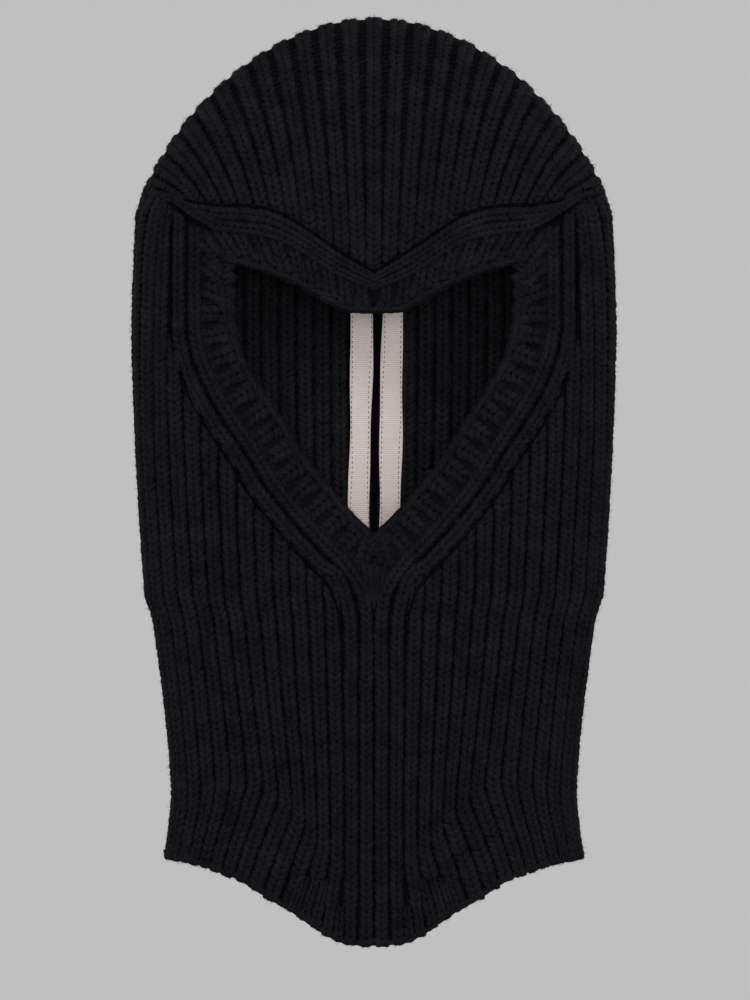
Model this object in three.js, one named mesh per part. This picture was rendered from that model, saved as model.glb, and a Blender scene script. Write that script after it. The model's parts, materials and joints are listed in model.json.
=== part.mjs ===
// A chunky rib-knit balaclava: two body panels, a crown cap, a heart-shaped face opening with
// its own ribbed trims, the seams that link them, cast-off edges and two label tapes inside.
// Millimetres, +Z up, the face towards -Y and the wearer's left towards +X. The origin is at
// the middle of the width and depth, at the height of the front bib's lowest point.
import * as THREE from 'three';

// ---------------------------------------------------------------- driving dimensions

const totalHeight = 439; // from the bib's lowest point to the top of the crown
const crownSeamHeight = 357; // the cap is linked on here at the sides and the back
const domeBaseHeight = 344; // above this the outline closes in as a dome

// Full widths of the soft tube, from the hem upwards, and the heights they are at.
const hemWidth = 199;
const hemCornerHeight = 40;
const neckWidth = 193;
const neckHeight = 76;
const collarWidth = 209.5; // the top of the tighter neck rib
const collarHeight = 152;
const jawWidth = 218;
const jawHeight = 167;
const headWidth = 229.6;
const headHeight = 280;
const templeWidth = 226.6; // at the dome's base

// Full depths, front to back, of the same tube.
const hemDepth = 60;
const neckDepth = 58;
const jawDepth = 63;
const headDepth = 71;

// The wall, and how the pieces meet.
const knitThickness = 5;
const trimRise = 1; // the trims stand this proud of the panels
const clearance = 0.3;
const seamWidth = 1;
const seamSunk = 0.8; // a seam's depth below the faces of the panels it links
const castOffWidth = 2.4;

// The face opening.
const faceWidth = 135.6; // between its upper corners
const faceCornerHeight = 322;
const browDipHeight = 297.5; // the upper edge at the middle
const chinPointHeight = 195;
const trimWidth = 23.5; // the cheek trims, measured square to the opening's edge
const chinTrimDepth = 27; // down the middle, below the opening's point
const browTrimDepth = 19.5; // up the middle, above the opening's edge
const cornerReach = new THREE.Vector2(20.2, 29); // from the opening's corner to the trims' own

// The back.
const backBibShare = 0.6; // the back hem dips this share of the front bib's drop
const backSeamLean = 2.6; // the back seam leans this far to +X, from the chin to the crown seam

// The label tapes on the inside of the back.
const tapeWidth = 10.6;
const tapeGap = 4.3; // between the two tapes, over the back seam
const tapeBottom = 160;
const tapeTop = 340;
const tapeThickness = 0.5;
const stitchInset = 1.1; // from a tape's edge to its row of stitches
const stitchWidth = 0.5;
const stitchThickness = 0.4;

// How finely the pieces are cut.
const cheekSteps = 16;
const browSteps = 7;
const templeSteps = 7; // from the trims' corner to the side of the head, on the crown seam
const sideSteps = 2; // the rest of the way to the widest line
const backSteps = 7;
const frontSeamSteps = 9;
const domeSteps = 6; // from a crown seam to the dome's outline
const domeOutlineSteps = 40;
const tapeSteps = 10;
const cornerSteps = 3;
const mitreSteps = 4;

const deg = Math.PI / 180;
const foldAngle = 75 * deg; // the crown's patch turns its corners this far round from the front

// ---------------------------------------------------------------- the soft tube's surface

// A smooth function through a few [place, value] points, flat beyond its ends.
function smooth(points) {
  const slope = (i) => {
    const a = points[Math.max(i - 1, 0)];
    const b = points[Math.min(i + 1, points.length - 1)];
    return (b[1] - a[1]) / (b[0] - a[0]);
  };
  return (at) => {
    if (at <= points[0][0]) return points[0][1];
    const i = points.findIndex((p) => p[0] >= at);
    if (i < 0) return points[points.length - 1][1];
    const [a, b] = [points[i - 1], points[i]];
    const span = b[0] - a[0];
    const t = (at - a[0]) / span;
    const rise = t * t * (3 - 2 * t);
    const bends = slope(i - 1) * t * (1 - t) ** 2 - slope(i) * t * t * (1 - t);
    return a[1] + (b[1] - a[1]) * rise + span * bends;
  };
}

const sideWidth = smooth([
  [0, hemWidth * 1.02],
  [hemCornerHeight, hemWidth],
  [neckHeight, neckWidth],
  [collarHeight, collarWidth],
  [jawHeight, jawWidth],
  [headHeight, headWidth],
  [domeBaseHeight, templeWidth],
]);

const tubeDepth = smooth([
  [0, hemDepth],
  [neckHeight, neckDepth],
  [jawHeight, jawDepth],
  [headHeight, headDepth],
  [domeBaseHeight, headDepth],
]);

// 1 at the dome's base and 0 at its top.
function domeShare(z) {
  const rise = (z - domeBaseHeight) / (totalHeight - domeBaseHeight);
  return (1 - Math.min(Math.max(rise, 0), 1) ** 1.38) ** 0.515;
}

const halfWidth = (z) => (sideWidth(z) / 2) * domeShare(z);
const halfDepth = (z) => (tubeDepth(z) / 2) * domeShare(z) ** 0.8;

// The outward direction at a point of the surface, square to it.
function outward(p) {
  const step = 0.05;
  const level = (z) => (p.x / halfWidth(z)) ** 2 + (p.y / halfDepth(z)) ** 2;
  const z = Math.min(p.z, totalHeight - 2 * step);
  const n = new THREE.Vector3(
    (2 * p.x) / halfWidth(z) ** 2,
    (2 * p.y) / halfDepth(z) ** 2,
    (level(z + step) - level(z - step)) / (2 * step),
  );
  return p.z > totalHeight - 2 * step ? new THREE.Vector3(0, 0, 1) : n.normalize();
}

// A point of the surface by its angle round from the front and its height.
function around(angle, z) {
  const p = new THREE.Vector3(
    halfWidth(z) * Math.sin(angle),
    -halfDepth(z) * Math.cos(angle),
    z,
  );
  return { p, n: outward(p) };
}

// A point of the surface by its place in the front view; side is -1 in front and 1 behind.
function facing(x, z, side = -1) {
  const share = Math.min(Math.abs(x) / Math.max(halfWidth(z), 1e-6), 1);
  const p = new THREE.Vector3(x, side * halfDepth(z) * Math.sqrt(1 - share * share), z);
  return { p, n: outward(p) };
}

const angleOf = (x, z) => Math.asin(Math.min(x / halfWidth(z), 1));

// ---------------------------------------------------------------- solids from the surface

// Moves the outer ring of a grid inwards, by one distance on each of its four sides: its
// first and last rows, and the left and right ends of its rows.
function drawIn(grid, { first = 0, last = 0, left = 0, right = 0 }) {
  const rows = grid.length - 1;
  const columns = grid[0].length - 1;
  const ring = [];
  for (let c = 0; c < columns; c++) ring.push([0, c, first]);
  for (let r = 0; r < rows; r++) ring.push([r, columns, right]);
  for (let c = columns; c > 0; c--) ring.push([rows, c, last]);
  for (let r = rows; r > 0; r--) ring.push([r, 0, left]);

  const step = (i) => ring[(i + ring.length) % ring.length];
  const at = (i) => grid[step(i)[0]][step(i)[1]];
  const towards = (i, j) => new THREE.Vector3().subVectors(at(j).p, at(i).p).normalize();
  const turn = Math.sign(towards(0, 1).cross(towards(0, -1)).dot(at(0).n));
  const inwards = (i) => at(i).n.clone().cross(towards(i, i + 1)).multiplyScalar(turn).normalize();

  const drawn = grid.map((row) => row.map(({ p, n }) => ({ p: p.clone(), n: n.clone() })));
  ring.forEach(([r, c, distance], i) => {
    const [a, b] = [inwards(i - 1), inwards(i)];
    const before = step(i - 1)[2];
    const lean = a.dot(b);
    const nearlyStraight = before === distance || lean > 0.95;
    const alongA = nearlyStraight ? before / (1 + lean) : (before - lean * distance) / (1 - lean ** 2);
    const alongB = nearlyStraight ? distance / (1 + lean) : (distance - lean * before) / (1 - lean ** 2);
    drawn[r][c].p.addScaledVector(a, alongA).addScaledVector(b, alongB);
  });
  return drawn;
}

// A closed slab over a grid of surface points, from one height above them to one depth below.
function slab(grid, above, below) {
  const rows = grid.length;
  const columns = grid[0].length;
  const places = [];
  for (const height of [above, -below]) {
    for (const row of grid) {
      for (const { p, n } of row) places.push(...p.clone().addScaledVector(n, height).toArray());
    }
  }
  const outer = (r, c) => r * columns + c;
  const inner = (r, c) => rows * columns + outer(r, c);
  const faces = [];
  const quad = (a, b, c, d) => faces.push([a, b, c], [a, c, d]);
  for (let r = 0; r < rows - 1; r++) {
    for (let c = 0; c < columns - 1; c++) {
      quad(outer(r, c), outer(r, c + 1), outer(r + 1, c + 1), outer(r + 1, c));
      quad(inner(r, c), inner(r + 1, c), inner(r + 1, c + 1), inner(r, c + 1));
    }
    quad(outer(r + 1, 0), inner(r + 1, 0), inner(r, 0), outer(r, 0));
    const end = columns - 1;
    quad(outer(r, end), inner(r, end), inner(r + 1, end), outer(r + 1, end));
  }
  const top = rows - 1;
  for (let c = 0; c < columns - 1; c++) {
    quad(outer(0, c), inner(0, c), inner(0, c + 1), outer(0, c + 1));
    quad(outer(top, c + 1), inner(top, c + 1), inner(top, c), outer(top, c));
  }
  return facingOut(places, faces);
}

// A geometry whose faces point outwards.
function facingOut(places, faces) {
  const corner = (i) => new THREE.Vector3().fromArray(places, 3 * i);
  let volume = 0;
  for (const [a, b, c] of faces) volume += corner(a).dot(corner(b).cross(corner(c)));
  const geometry = new THREE.BufferGeometry();
  geometry.setAttribute('position', new THREE.Float32BufferAttribute(places, 3));
  geometry.setIndex(faces.flatMap(([a, b, c]) => (volume > 0 ? [a, b, c] : [a, c, b])));
  geometry.computeVertexNormals();
  return geometry;
}

// A strip along a line of surface points, from one sideways distance to another.
function strip(line, from, to) {
  return line.map(({ p, n }, i) => {
    const before = line[Math.max(i - 1, 0)].p;
    const after = line[Math.min(i + 1, line.length - 1)].p;
    const along = new THREE.Vector3().subVectors(after, before).normalize();
    const across = new THREE.Vector3().crossVectors(n, along).normalize();
    return [from, to].map((distance) => ({ p: p.clone().addScaledVector(across, distance), n }));
  });
}

// A line of surface points with a length cut from each end.
function shortened(line, atStart, atEnd) {
  const cut = (end, next, length) => {
    const share = length / end.p.distanceTo(next.p);
    const n = end.n.clone().lerp(next.n, share).normalize();
    return { p: end.p.clone().lerp(next.p, share), n };
  };
  const last = line.length - 1;
  return [
    cut(line[0], line[1], atStart),
    ...line.slice(1, last),
    cut(line[last], line[last - 1], atEnd),
  ];
}

const mirrored = (grid) => grid.map((row) => row.map(({ p, n }) => ({
  p: new THREE.Vector3(-p.x, p.y, p.z),
  n: new THREE.Vector3(-n.x, n.y, n.z),
})));
const onSide = (side, grid) => (side > 0 ? grid : mirrored(grid));

// ---------------------------------------------------------------- outlines in the front view

const evenly = (count) => Array.from({ length: count + 1 }, (_, i) => i / count);
const placed = (shares, from, to) => shares.map(([x, z]) => new THREE.Vector2(
  THREE.MathUtils.lerp(from.x, to.x, x),
  THREE.MathUtils.lerp(from.y, to.y, z),
));

const faceCorner = new THREE.Vector2(faceWidth / 2, faceCornerHeight);
const trimCorner = faceCorner.clone().add(cornerReach);
const browDip = new THREE.Vector2(0, browDipHeight);
const browPeak = new THREE.Vector2(0, browDipHeight + browTrimDepth);
const chinPoint = new THREE.Vector2(0, chinPointHeight);
const chinSeamPoint = new THREE.Vector2(0, chinPointHeight - chinTrimDepth);

// The opening's upper edge, from the middle to its corner: a flat dip, then a shallow arch.
const browEdge = new THREE.SplineCurve(placed(
  [[0, 0], [0.2, 0.04], [0.3, 0.2], [0.57, 0.61], [0.83, 0.88], [1, 1]], browDip, faceCorner,
)).getSpacedPoints(browSteps);

// The opening's side, from its corner to the point at the chin.
const cheekEdge = new THREE.SplineCurve(placed(
  [[1, 1], [0.97, 0.84], [0.93, 0.7], [0.82, 0.57], [0.6, 0.394], [0.46, 0.273], [0.18, 0.094], [0, 0]],
  chinPoint, faceCorner,
)).getSpacedPoints(cheekSteps);

// The crown's lower edge in front: a peak pointing down at the middle, then nearly level.
const browSeam = new THREE.SplineCurve(placed(
  [[0, 0], [0.09, 0.1], [0.227, 0.353], [0.364, 0.6], [0.466, 0.765], [0.568, 0.876],
    [0.705, 0.926], [0.864, 0.94], [1, 1]], browPeak, trimCorner,
)).getSpacedPoints(browSteps);

// The cheek trim's outer edge runs beside the opening and closes below the chin.
const cheekSeam = cheekEdge.map((point, i) => {
  if (i === cheekSteps) return chinSeamPoint;
  const before = cheekEdge[Math.max(i - 1, 0)];
  const along = cheekEdge[i + 1].clone().sub(before).normalize();
  const aside = new THREE.Vector2(-along.y, along.x).multiplyScalar(trimWidth);
  const fromCorner = Math.min(i / 3, 1);
  return point.clone().add(cornerReach.clone().lerp(aside, fromCorner));
});

// The hem's height at a distance from the middle: a rounded bib with long hollow flanks.
const hemRise = smooth([
  [0, 0], [0.125, 0.02], [0.21, 0.07], [0.33, 0.31], [0.56, 0.65], [0.7, 0.81], [0.85, 0.93], [1, 1],
]);
function hemHeight(angle) {
  const drop = hemCornerHeight * (Math.cos(angle) < 0 ? backBibShare : 1);
  return hemCornerHeight - drop * (1 - hemRise(Math.abs(Math.sin(angle))));
}

const backSeamOffset = (z) => backSeamLean
  * THREE.MathUtils.clamp((z - chinPointHeight) / (crownSeamHeight - chinPointHeight), 0, 1);

// ---------------------------------------------------------------- lines the pieces share

const toAngle = ({ x, y }) => [angleOf(x, y), y];

// The crown seam as [angle, height], from the trims' corner to the back seam; lean is 1 on
// the side that the back seam leans to, -1 on the other, or 0 for the middle of the back.
function crownSeam(lean) {
  const [start] = toAngle(trimCorner);
  const offset = Math.asin(backSeamOffset(crownSeamHeight) / halfWidth(crownSeamHeight));
  const end = 180 * deg - lean * offset;
  const run = (from, to, steps) => evenly(steps).slice(1).map((t) => THREE.MathUtils.lerp(from, to, t));
  const temple = evenly(templeSteps).map((t) => [
    THREE.MathUtils.lerp(start, foldAngle, t),
    THREE.MathUtils.lerp(trimCorner.y, crownSeamHeight, THREE.MathUtils.smoothstep(t, 0, 0.5)),
  ]);
  const level = [...run(foldAngle, 90 * deg, sideSteps), ...run(90 * deg, end, backSteps)];
  return [...temple, ...level.map((angle) => [angle, crownSeamHeight])];
}

// The hem as [angle, height], from the middle of the front to the middle of the back.
const frontSteps = templeSteps + sideSteps;
const hemLine = [
  ...evenly(frontSteps).map((t) => 90 * deg * t),
  ...evenly(backSteps).slice(1).map((t) => 90 * deg * (1 + t)),
].map((angle) => [angle, hemHeight(angle)]);

// One body panel, as a grid: rows run round from the front seam to the back seam.
function bodyGrid(side) {
  const top = crownSeam(side);
  const columns = hemLine.length - 1;
  const hem = hemLine;
  const chinZ = chinSeamPoint.y;
  const inner = [
    ...evenly(frontSeamSteps).map((t) => [0, THREE.MathUtils.lerp(hem[0][1], chinZ, t)]),
    ...[...cheekSeam].reverse().slice(1).map(toAngle),
  ];
  const rows = inner.length - 1;
  const backHem = hem[columns][1];
  const outer = inner.map((_, i) => {
    const z = i <= frontSeamSteps
      ? THREE.MathUtils.lerp(backHem, chinZ, i / frontSeamSteps)
      : THREE.MathUtils.lerp(chinZ, crownSeamHeight, (i - frontSeamSteps) / cheekSteps);
    return [Math.PI - Math.asin((side * backSeamOffset(z)) / halfWidth(z)), z];
  });
  return inner.map((_, r) => hem.map((_, c) => {
    const [u, v] = [c / columns, r / rows];
    const blend = (k) => (1 - v) * hem[c][k] + v * top[c][k] + (1 - u) * inner[r][k] + u * outer[r][k]
      - (1 - u) * (1 - v) * hem[0][k] - u * (1 - v) * hem[columns][k]
      - (1 - u) * v * top[0][k] - u * v * top[columns][k];
    return around(blend(0), blend(1));
  }));
}

// The crown as a grid: each row follows one rib from the brow, over the top and down the back.
function crownGrid() {
  const temple = crownSeam(0).slice(0, templeSteps + 1)
    .map(([angle, z]) => new THREE.Vector2(halfWidth(z) * Math.sin(angle), z));
  const right = [...browSeam.slice(0, -1), ...temple];
  const front = [...right.slice(1).reverse().map(({ x, y }) => new THREE.Vector2(-x, y)), ...right];
  const ribs = front.length - 1;
  const outline = new THREE.SplineCurve(evenly(domeOutlineSteps).map((t) => {
    const lift = Math.sin(180 * deg * t) ** 1.4;
    const z = THREE.MathUtils.lerp(crownSeamHeight, totalHeight, lift);
    return new THREE.Vector2(Math.sign(t - 0.5) * halfWidth(z), z);
  }));
  const top = outline.getSpacedPoints(ribs);
  const reach = halfWidth(crownSeamHeight) * Math.sin(foldAngle);
  return front.map((from, i) => {
    const over = top[i];
    const back = new THREE.Vector2(THREE.MathUtils.lerp(-reach, reach, i / ribs), crownSeamHeight);
    const rim = new THREE.Vector3(over.x, 0, over.y);
    const leg = (start, side) => evenly(domeSteps).slice(0, -1).map((t) => {
      const at = start.clone().lerp(over, 1 - (1 - t) ** 2);
      return facing(at.x, at.y, side);
    });
    return [...leg(from, -1), { p: rim, n: outward(rim) }, ...leg(back, 1).reverse()];
  });
}

// A grid between two outlines in the front view, with rows at the given shares of the way.
const between = (from, to, shares) => from.map((point, i) => shares.map((share) => {
  const at = point.clone().lerp(to[i], share);
  return facing(at.x, at.y);
}));
const pointsOn = (outline) => outline.map(({ x, y }) => facing(x, y));

// ---------------------------------------------------------------- materials and pieces

const finish = (color, roughness) => new THREE.MeshStandardMaterial({ color, roughness, metalness: 0 });
const wool = finish(0x1b1b1e, 0.95);
const linkingYarn = finish(0x141417, 0.95);
const grosgrain = finish(0xb9aaa7, 0.8);
const thread = finish(0x4a4244, 0.7);

const balaclava = new THREE.Group();
function add(name, grid, above, below, material) {
  const piece = new THREE.Mesh(slab(grid, above, below), material);
  piece.name = name;
  balaclava.add(piece);
}
function addSeam(name, line, atStart, atEnd, side = 1) {
  const grid = strip(shortened(line, atStart, atEnd), -seamWidth / 2, seamWidth / 2);
  add(name, onSide(side, grid), -seamSunk, knitThickness - seamSunk, linkingYarn);
}

const seamRoom = seamWidth / 2 + clearance; // from a seam's middle to the panels it links
const castOffRoom = castOffWidth + clearance; // from an edge to the panel behind its cast-off
const endRoom = 2 * seamWidth; // a seam stops this far short of one that it meets
const allSeams = { first: seamRoom, last: seamRoom, left: seamRoom, right: seamRoom };
const halfGap = { first: clearance / 2, last: clearance / 2 };
const sides = [['left', 1], ['right', -1]]; // the wearer's left is towards +X

// The crown cap. Its short ends lie over the side folds, where facets of different lengths
// meet, so they keep twice the clearance.
const foldRoom = seamRoom + clearance;
const cap = drawIn(crownGrid(), { ...allSeams, first: foldRoom, last: foldRoom });
add('crown_panel', cap, 0, knitThickness, wool);

// A trim runs between two outlines, with a cast-off edge along the first.
function addTrim(name, edge, seam, side) {
  const band = drawIn(between(edge, seam, [0, 0.5, 1]), { ...allSeams, left: castOffRoom });
  add(name.replace('_', '_trim_'), onSide(side, band), trimRise, knitThickness, wool);
  const castOff = edge.map((p, i) => p.clone().lerp(seam[i], castOffWidth / p.distanceTo(seam[i])));
  const cord = drawIn(between(edge, castOff, [0, 1]), halfGap);
  add(name.replace('_', '_edge_'), onSide(side, cord), trimRise / 2, knitThickness, linkingYarn);
}

for (const [name, side] of sides) {
  // A body panel wraps half the head, from the front seam round to the back seam.
  const panel = drawIn(bodyGrid(side), { ...allSeams, first: castOffRoom });
  add(`body_panel_${name}`, onSide(side, panel), 0, knitThickness, wool);
  const hem = hemLine.map(([angle, z]) => [around(angle, z), around(angle, z + castOffWidth)]);
  add(`hem_edge_${name}`, onSide(side, drawIn(hem, halfGap)), 0, knitThickness, linkingYarn);

  addTrim(`cheek_${name}`, cheekEdge, cheekSeam, side);
  addTrim(`brow_${name}`, browEdge, browSeam, side);

  // The seams that link the trims and the crown to their neighbours.
  const mitre = evenly(cornerSteps).map((t) => faceCorner.clone().lerp(trimCorner, t));
  const crownLine = crownSeam(side).map(([angle, z]) => around(angle, z));
  addSeam(`cheek_seam_${name}`, pointsOn(cheekSeam), endRoom, endRoom, side);
  addSeam(`brow_seam_${name}`, pointsOn(browSeam), endRoom / 2, endRoom, side);
  addSeam(`corner_seam_${name}`, pointsOn(mitre), castOffRoom + endRoom, endRoom, side);
  addSeam(`crown_seam_${name}`, crownLine, endRoom, endRoom, side);
}

// The seams down the middle: the front and back of the body, and the trims' two mitres.
function addMiddleSeam(name, fromZ, toZ, steps, side, lean = 0) {
  const heights = evenly(steps).map((t) => THREE.MathUtils.lerp(fromZ, toZ, t));
  addSeam(name, heights.map((z) => facing(lean * backSeamOffset(z), z, side)), endRoom, endRoom);
}
const frontHem = hemHeight(0) + castOffWidth;
const backHem = hemHeight(180 * deg) + castOffWidth;
addMiddleSeam('front_seam', frontHem, chinSeamPoint.y, frontSeamSteps, -1);
addMiddleSeam('chin_seam', chinSeamPoint.y, chinPoint.y - 2 * castOffWidth, mitreSteps, -1);
addMiddleSeam('brow_peak_seam', browDip.y + castOffWidth, browPeak.y, mitreSteps, -1);
addMiddleSeam('back_seam', backHem, crownSeamHeight, frontSeamSteps + cheekSteps, 1, 1);

// The label tapes lie flat on the inside of the back, one each side of the back seam, each
// with a row of stitches along both edges.
function tapeStrip(from, to, bottom, top) {
  return evenly(tapeSteps).map((t) => {
    const z = THREE.MathUtils.lerp(bottom, top, t);
    return [from, to].map((x) => facing(x + backSeamOffset(z), z, 1));
  });
}
const tapeBack = knitThickness + clearance;
const tapeFace = tapeBack + tapeThickness;
const stitchBack = tapeFace + clearance;
for (const [name, side] of sides) {
  const inner = (side * tapeGap) / 2;
  const outer = inner + side * tapeWidth;
  add(`label_tape_${name}`, tapeStrip(inner, outer, tapeBottom, tapeTop), -tapeBack, tapeFace, grosgrain);
  const rows = { inner: inner + side * stitchInset, outer: outer - side * stitchInset };
  for (const [edge, x] of Object.entries(rows)) {
    const [from, to] = [x - stitchWidth / 2, x + stitchWidth / 2];
    const row = tapeStrip(from, to, tapeBottom + stitchInset, tapeTop - stitchInset);
    add(`tape_stitches_${name}_${edge}`, row, -stitchBack, stitchBack + stitchThickness, thread);
  }
}

// The origin is at the middle of the finished width and depth, at its lowest point.
const box = new THREE.Box3().setFromObject(balaclava);
balaclava.position.set(-(box.min.x + box.max.x) / 2, -(box.min.y + box.max.y) / 2, -box.min.z);

export default balaclava;
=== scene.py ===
import json

import bmesh
import bpy
import numpy as np
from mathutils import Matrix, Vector

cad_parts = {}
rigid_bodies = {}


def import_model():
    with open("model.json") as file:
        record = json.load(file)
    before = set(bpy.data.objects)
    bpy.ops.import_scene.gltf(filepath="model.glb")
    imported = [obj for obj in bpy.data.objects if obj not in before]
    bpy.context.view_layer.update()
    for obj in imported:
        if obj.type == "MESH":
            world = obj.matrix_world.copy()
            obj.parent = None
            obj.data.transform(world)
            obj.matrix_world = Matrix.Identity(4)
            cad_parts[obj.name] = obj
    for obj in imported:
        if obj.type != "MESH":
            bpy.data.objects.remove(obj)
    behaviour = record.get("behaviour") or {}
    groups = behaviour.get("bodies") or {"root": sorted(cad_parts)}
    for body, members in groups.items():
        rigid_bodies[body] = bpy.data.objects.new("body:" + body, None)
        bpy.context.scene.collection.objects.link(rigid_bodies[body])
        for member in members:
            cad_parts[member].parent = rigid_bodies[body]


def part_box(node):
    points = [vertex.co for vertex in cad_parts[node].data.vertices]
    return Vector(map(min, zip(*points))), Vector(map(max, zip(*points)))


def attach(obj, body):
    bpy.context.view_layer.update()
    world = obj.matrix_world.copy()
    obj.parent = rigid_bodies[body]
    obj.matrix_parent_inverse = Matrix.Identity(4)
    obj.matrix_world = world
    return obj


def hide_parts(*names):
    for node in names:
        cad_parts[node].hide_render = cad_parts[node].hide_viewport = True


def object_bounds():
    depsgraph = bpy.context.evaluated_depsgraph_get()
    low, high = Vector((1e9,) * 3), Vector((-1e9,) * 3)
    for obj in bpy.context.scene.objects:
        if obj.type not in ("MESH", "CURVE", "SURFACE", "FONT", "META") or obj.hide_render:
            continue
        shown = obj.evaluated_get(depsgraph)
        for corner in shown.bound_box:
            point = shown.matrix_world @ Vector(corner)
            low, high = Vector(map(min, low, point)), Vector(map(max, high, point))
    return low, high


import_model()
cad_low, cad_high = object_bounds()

# ------------------------------------------------------------------ body panels
# Two mirrored panels of chunky black wool, knitted in a one-by-one rib. Each wraps half the
# head and neck, from the front seam to the back seam, and is linked to its neighbours there.
# The cloth behind the stitches is one sheet, and every stitch on it is a V of two yarn legs.

mm = 0.001
crown_top = cad_high.z / mm
head_width = (cad_high.x - cad_low.x) / mm
crown_seam_z, dome_base_z = 357.0, 344.0
head_depth, wall = 71.0, 5.0
middle_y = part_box("body_panel_left")[1].y / mm - head_depth / 2


def soft_curve(points):
    """A smooth function through a few (place, value) points, flat beyond its ends."""
    x, y = np.array(points, float).T
    here = np.arange(len(x))
    before, after = np.maximum(here - 1, 0), np.minimum(here + 1, len(x) - 1)
    slope = (y[after] - y[before]) / (x[after] - x[before])

    def at(place):
        place = np.clip(place, x[0], x[-1])
        k = np.clip(np.searchsorted(x, place) - 1, 0, len(x) - 2)
        span = x[k + 1] - x[k]
        t = (place - x[k]) / span
        rise = (y[k + 1] - y[k]) * t * t * (3 - 2 * t)
        return y[k] + rise + span * (slope[k] * t * (1 - t) ** 2 - slope[k + 1] * t * t * (1 - t))

    return at


side_width = soft_curve([
    (0, 203), (40, 199), (76, 193), (152, 209.5), (167, 218), (280, head_width), (dome_base_z, 226.6),
])
tube_depth = soft_curve([(0, 60), (76, 58), (167, 63), (280, head_depth), (dome_base_z, head_depth)])


def dome_share(z):
    """1 up to the dome's base, closing to 0 at the top of the crown."""
    rise = np.clip((z - dome_base_z) / (crown_top - dome_base_z), 0, 1)
    return (1 - rise**1.38) ** 0.515


def half_width(z):
    return side_width(z) / 2 * dome_share(z)


def half_depth(z):
    return tube_depth(z) / 2 * dome_share(z) ** 0.8


def around(angle, z):
    """Points of the soft tube by their angle round from the front and their height."""
    angle, z = np.broadcast_arrays(angle, z)
    return np.stack([half_width(z) * np.sin(angle), -half_depth(z) * np.cos(angle), z], -1)


def facing(x, z, side):
    """Points of the tube by their place seen from the front; side is -1 in front, 1 behind."""
    x, z = np.broadcast_arrays(np.asarray(x, float), np.asarray(z, float))
    share = np.clip(np.abs(x) / np.maximum(half_width(z), 1e-6), 0, 1)
    return np.stack([x, side * half_depth(z) * np.sqrt(1 - share**2), z], -1)


def under(line, side=-1):
    """Points of the tube under a line drawn in the front view."""
    return facing(line[..., 0], line[..., 1], side)


def unit(v):
    return v / np.maximum(np.linalg.norm(v, axis=-1, keepdims=True), 1e-9)


def outward(p):
    """The direction square to the tube's surface at its points."""
    step = 0.05
    x, y = p[..., 0], p[..., 1]
    z = np.minimum(p[..., 2], crown_top - 3 * step)
    rise = [(x / half_width(h)) ** 2 + (y / half_depth(h)) ** 2 for h in (z + step, z - step)]
    n = np.stack([
        2 * x / half_width(z) ** 2, 2 * y / half_depth(z) ** 2, (rise[0] - rise[1]) / (2 * step),
    ], -1)
    return unit(n)


def placed(points):
    """Points of the tube in millimetres, as places in the scene."""
    return (np.asarray(points, float).reshape(-1, 3) + [0, middle_y, 0]) * mm


def in_scene(name, data):
    """A new object of the scene that shows a mesh, a light or a camera."""
    made = bpy.data.objects.new(name, data)
    bpy.context.scene.collection.objects.link(made)
    return made


def mesh_object(name, places, faces, material=None):
    """A smooth-shaded mesh of places in the scene."""
    mesh = bpy.data.meshes.new(name)
    mesh.from_pydata(np.asarray(places, float), [], faces)
    mesh.polygons.foreach_set("use_smooth", np.ones(len(mesh.polygons), bool))
    mesh.update()
    if material:
        mesh.materials.append(material)
    return in_scene(name, mesh)


# The shape of the opening and its trims, seen from the front, as the panels run up to them.
face_half, face_corner_z, brow_dip_z, chin_z = 67.8, 322.0, 297.5, 195.0
trim_width, chin_seam_z = 23.5, 168.0
corner_reach = np.array([20.2, 29.0])  # from the opening's corner to the trim's outer corner


def run_along(line):
    """How far each point of a line is from its start, along it."""
    return np.r_[0, np.cumsum(np.linalg.norm(np.diff(line, axis=0), axis=1))]


def spaced(points, count):
    """Evenly spaced points along a smooth line through a few points."""
    points = np.array(points, float)
    chord = run_along(points)
    fine = np.linspace(0, chord[-1], 400)
    line = np.stack([soft_curve(np.c_[chord, column])(fine) for column in points.T], 1)
    run = run_along(line)
    where = np.linspace(0, run[-1], count)
    return np.stack([np.interp(where, run, column) for column in line.T], 1)


cheek_shape = np.array([
    (1, 1), (0.97, 0.84), (0.93, 0.7), (0.82, 0.57), (0.6, 0.394), (0.46, 0.273), (0.18, 0.094), (0, 0),
])
brow_shape = np.array([(0, 0), (0.2, 0.04), (0.3, 0.2), (0.57, 0.61), (0.83, 0.88), (1, 1)])
peak_shape = np.array([
    (0, 0), (0.09, 0.14), (0.227, 0.353), (0.364, 0.6), (0.466, 0.765), (0.568, 0.876), (0.705, 0.926),
    (0.864, 0.94), (1, 1),
])
brow_peak_z = brow_dip_z + 19.5
trim_corner = np.array([face_half, face_corner_z]) + corner_reach
corner_angle = np.arcsin(trim_corner[0] / half_width(trim_corner[1]))

cheek_line = spaced(cheek_shape * [face_half, face_corner_z - chin_z] + [0, chin_z], 61)
brow_line = spaced(brow_shape * [face_half, face_corner_z - brow_dip_z] + [0, brow_dip_z], 31)
peak_line = spaced(peak_shape * (trim_corner - [0, brow_peak_z]) + [0, brow_peak_z], 31)


def aside(line):
    """The sideways direction of a line in the front view, away from the opening."""
    along = unit(np.gradient(line, axis=0))
    return np.stack([-along[:, 1], along[:, 0]], 1)


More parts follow.
